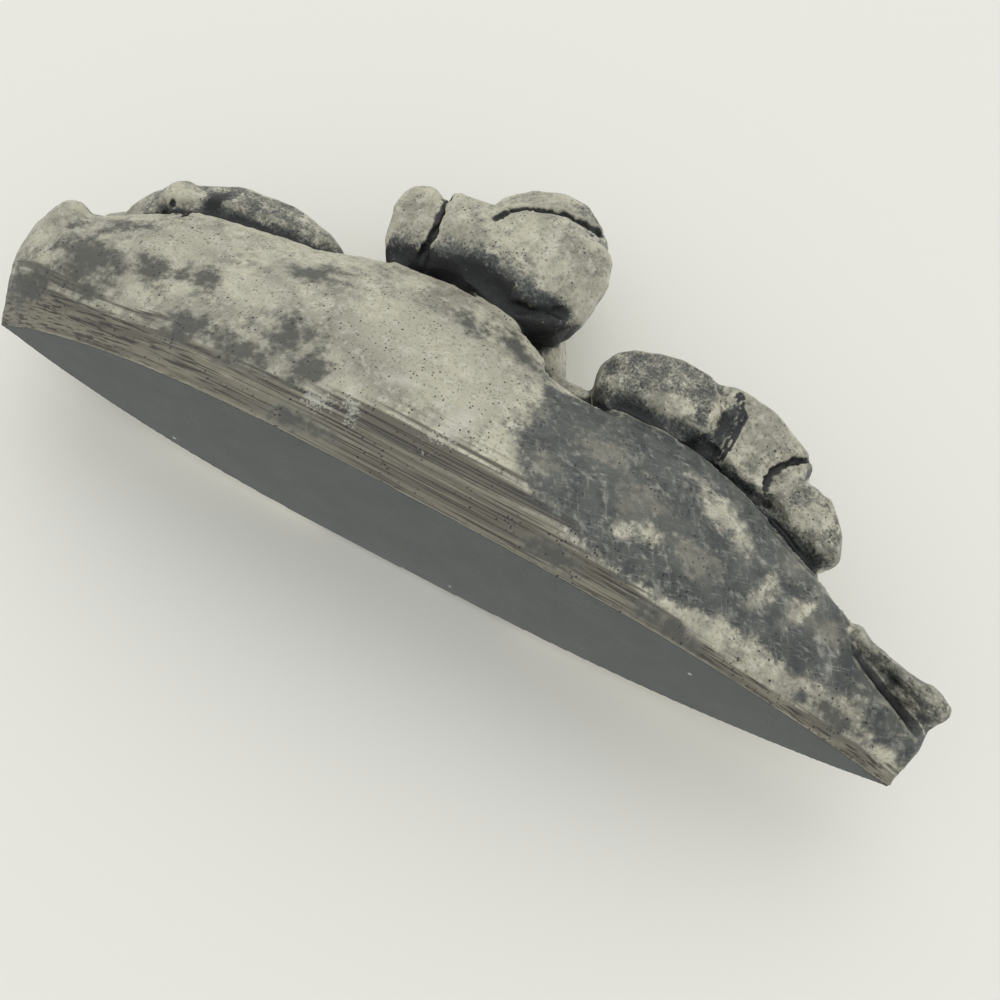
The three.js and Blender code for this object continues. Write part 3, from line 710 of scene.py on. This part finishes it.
# The coats, from the bare stone up. Each is where it lies, how strongly, and its colour.
coats = (
    # bare stone
    (ramp(tree, mottle, 0.46, 0.62), 0.6, MID_GREY),
    # pale patches, and the figures' up-facing sides, paler partly as painted light
    (ragged(marked("pale"), mottle, 2.6, 0.0, 0.6), 0.6, CREAM),
    (ramp(tree, small_cloud, 0.48, 0.36), 0.35, CHALK),
    (ramp(tree, grains, 0.52, 0.68), 0.5, STAIN_GREY),
    # the sawn foot
    (sawn, 0.9, OLIVE),
    (both(sawn, ramp(tree, saw_lines, 0.42, 0.6)), 0.75, BROWN),
    (both(sawn, ramp(tree, fine_saw_lines, 0.5, 0.6)), 0.85, SAW_DIRT),
    # stains
    (ragged(marked("stain"), cloud, 3.0, -0.35, 0.6), 0.55, MID_GREY),
    (ragged(marked("stain"), mottle, 4.5, 0.05, 0.8), 0.85, STAIN_GREY),
    # slate skin, brushed and chalky
    (skin, 0.95, SLATE_BLUE),
    (both(skin, ramp(tree, cloud, 0.42, 0.6)), 0.75, DEEP_SLATE),
    *brushed,
    (both(skin, ragged(marked("chalky"), mottle, 4.5, 0.0, 1.1)), 0.5, WARM_GREY),
    # crust
    (ragged(marked("crust"), mixed(grains, small_cloud, 0.6), 4.0, 0.3, 0.9), 0.45, CHALK),
    # dark wax and painted shade on the figures, thin to thick, rubbed off the edges
    (ramp(tree, waxed_and_shaded, 0.12, 0.42), 0.75, MID_GREY),
    (ramp(tree, waxed_and_shaded, 0.38, 0.6), 0.85, SLATE_BLUE),
    (ramp(tree, waxed_and_shaded, 0.58, 0.78), 0.9, DEEP_SLATE),
    (both(on_figure, ramp(tree, small_cloud, 0.54, 0.66)), 0.4, MID_GREY),
    (both(on_figure, ramp(tree, rubbings, 0.55, 0.7)), 0.32, WARM_GREY),
    (ramp(tree, marked("worn"), 0.3, 1.0), 0.4, CREAM),
    (ramp(tree, waxed_and_shaded, 0.82, 0.96), 0.97, NEAR_BLACK),
    # painted shade and soot in the tight places, a rubbed rim on the ridge, black in the cuts and
    # hollows (dirt and painted shade) and in the pits
    (ragged(marked("shut in"), mottle, 0.6, 0.55, 0.8), 0.9, NEAR_BLACK),
    (ragged(marked("rim"), small_cloud, 1.0, 0.3, 0.7), 0.5, CREAM),
    (ragged(marked("hollow"), small_cloud, 0.3, 0.12, 0.34), 0.97, NEAR_BLACK),
    (pinholes, 0.92, NEAR_BLACK),
    # the underside
    (under, 1.0, plate),
    (both(under, ramp(tree, under_scratches, 0.5, 0.68)), 0.4, UNDER_SLATE),
    (both(under_chips, under), 0.8, CHALK),
)
base = put(tree, "Mix", {0: ramp(tree, wide_cloud, 0.38, 0.6), 6: WARM_GREY, 7: CREAM},
           data_type="RGBA").outputs[2]
for mask, strength, above in coats:
    amount = reckon(tree, "MULTIPLY", mask, strength)
    base = put(tree, "Mix", {0: amount, 6: base, 7: above}, data_type="RGBA").outputs[2]
tree.links.new(base, shade.inputs["Base Color"])
shade.inputs["Roughness"].default_value = WAX_SHEEN
grit = put(tree, "Bump", {"Strength": 0.6, "Distance": GRIT,
                          "Height": reckon(tree, "SUBTRACT", grains, pinholes)})
tree.links.new(grit.outputs[0], shade.inputs["Normal"])
carving.data.materials.clear()
carving.data.materials.append(stone)

# The table and the floor. Both are plain and pale. Each shows from its front only, so neither stands
# in the way of a view from behind it, and neither keeps the light off the stone.
WIDE = 30.0
PALE = (0.79, 0.79, 0.75, 1)
TABLE_GAP = 0.0005
FLOOR_Z = -0.0003


def pale_board(name, corners):
    """A board that the viewer sees from its front and nothing else meets."""
    sheet = bpy.data.meshes.new(name)
    sheet.from_pydata(corners, [], [(0, 1, 2, 3)])
    board = bpy.data.objects.new(name, sheet)
    bpy.context.scene.collection.objects.link(board)
    paint = bpy.data.materials.new(name)
    paint.use_nodes = True
    paint.node_tree.nodes.clear()
    layers = paint.node_tree
    from_front = reckon(layers, "SUBTRACT", put(layers, "LightPath").outputs["Is Camera Ray"],
                        put(layers, "NewGeometry").outputs["Backfacing"], clamp=True)
    blend = put(layers, "MixShader", {"Fac": from_front, 1: put(layers, "BsdfTransparent").outputs[0],
                                      2: put(layers, "BsdfDiffuse", {"Color": PALE}).outputs[0]})
    put(layers, "OutputMaterial", {"Surface": blend.outputs[0]})
    sheet.materials.append(paint)


table_y = low[1] * MM - TABLE_GAP
pale_board("table", [(WIDE, table_y, -WIDE), (-WIDE, table_y, -WIDE),
                     (-WIDE, table_y, WIDE), (WIDE, table_y, WIDE)])
pale_board("floor", [(-WIDE, -WIDE, FLOOR_Z), (WIDE, -WIDE, FLOOR_Z),
                     (WIDE, WIDE, FLOOR_Z), (-WIDE, WIDE, FLOOR_Z)])


# The light. The room is bright and even: a pale sky all round, and two wide soft lights, one over
# the wall side and one over the front.
def soft_light(name, place, strength, spread):
    """A wide soft light shining from that side; spread is how wide it looks, in degrees."""
    lamp = bpy.data.lights.new(name, "SUN")
    lamp.energy = strength
    lamp.angle = math.radians(spread)
    holder = bpy.data.objects.new(name, lamp)
    holder.matrix_world = (-Vector(place)).to_track_quat("-Z", "Y").to_matrix().to_4x4()
    bpy.context.scene.collection.objects.link(holder)


soft_light("ceiling_light", (0.15, 0.8, 0.55), 0.5, 50)
soft_light("front_light", (-0.4, -0.7, 0.6), 0.5, 60)

# The sky gives one tone to the stone and shows another, matched to the floor, behind it.
SKY_LIGHT = (0.9, 0.9, 0.882, 1)
SKY_SEEN = (0.863, 0.871, 0.807, 1)

sky = bpy.data.worlds.new("pale_room")
sky.use_nodes = True
air = sky.node_tree
tone = put(air, "Mix", {0: put(air, "LightPath").outputs["Is Camera Ray"], 6: SKY_LIGHT, 7: SKY_SEEN},
           data_type="RGBA").outputs[2]
air.links.new(tone, air.nodes["Background"].inputs["Color"])
bpy.context.scene.world = sky
bpy.context.scene.view_settings.view_transform = "Standard"
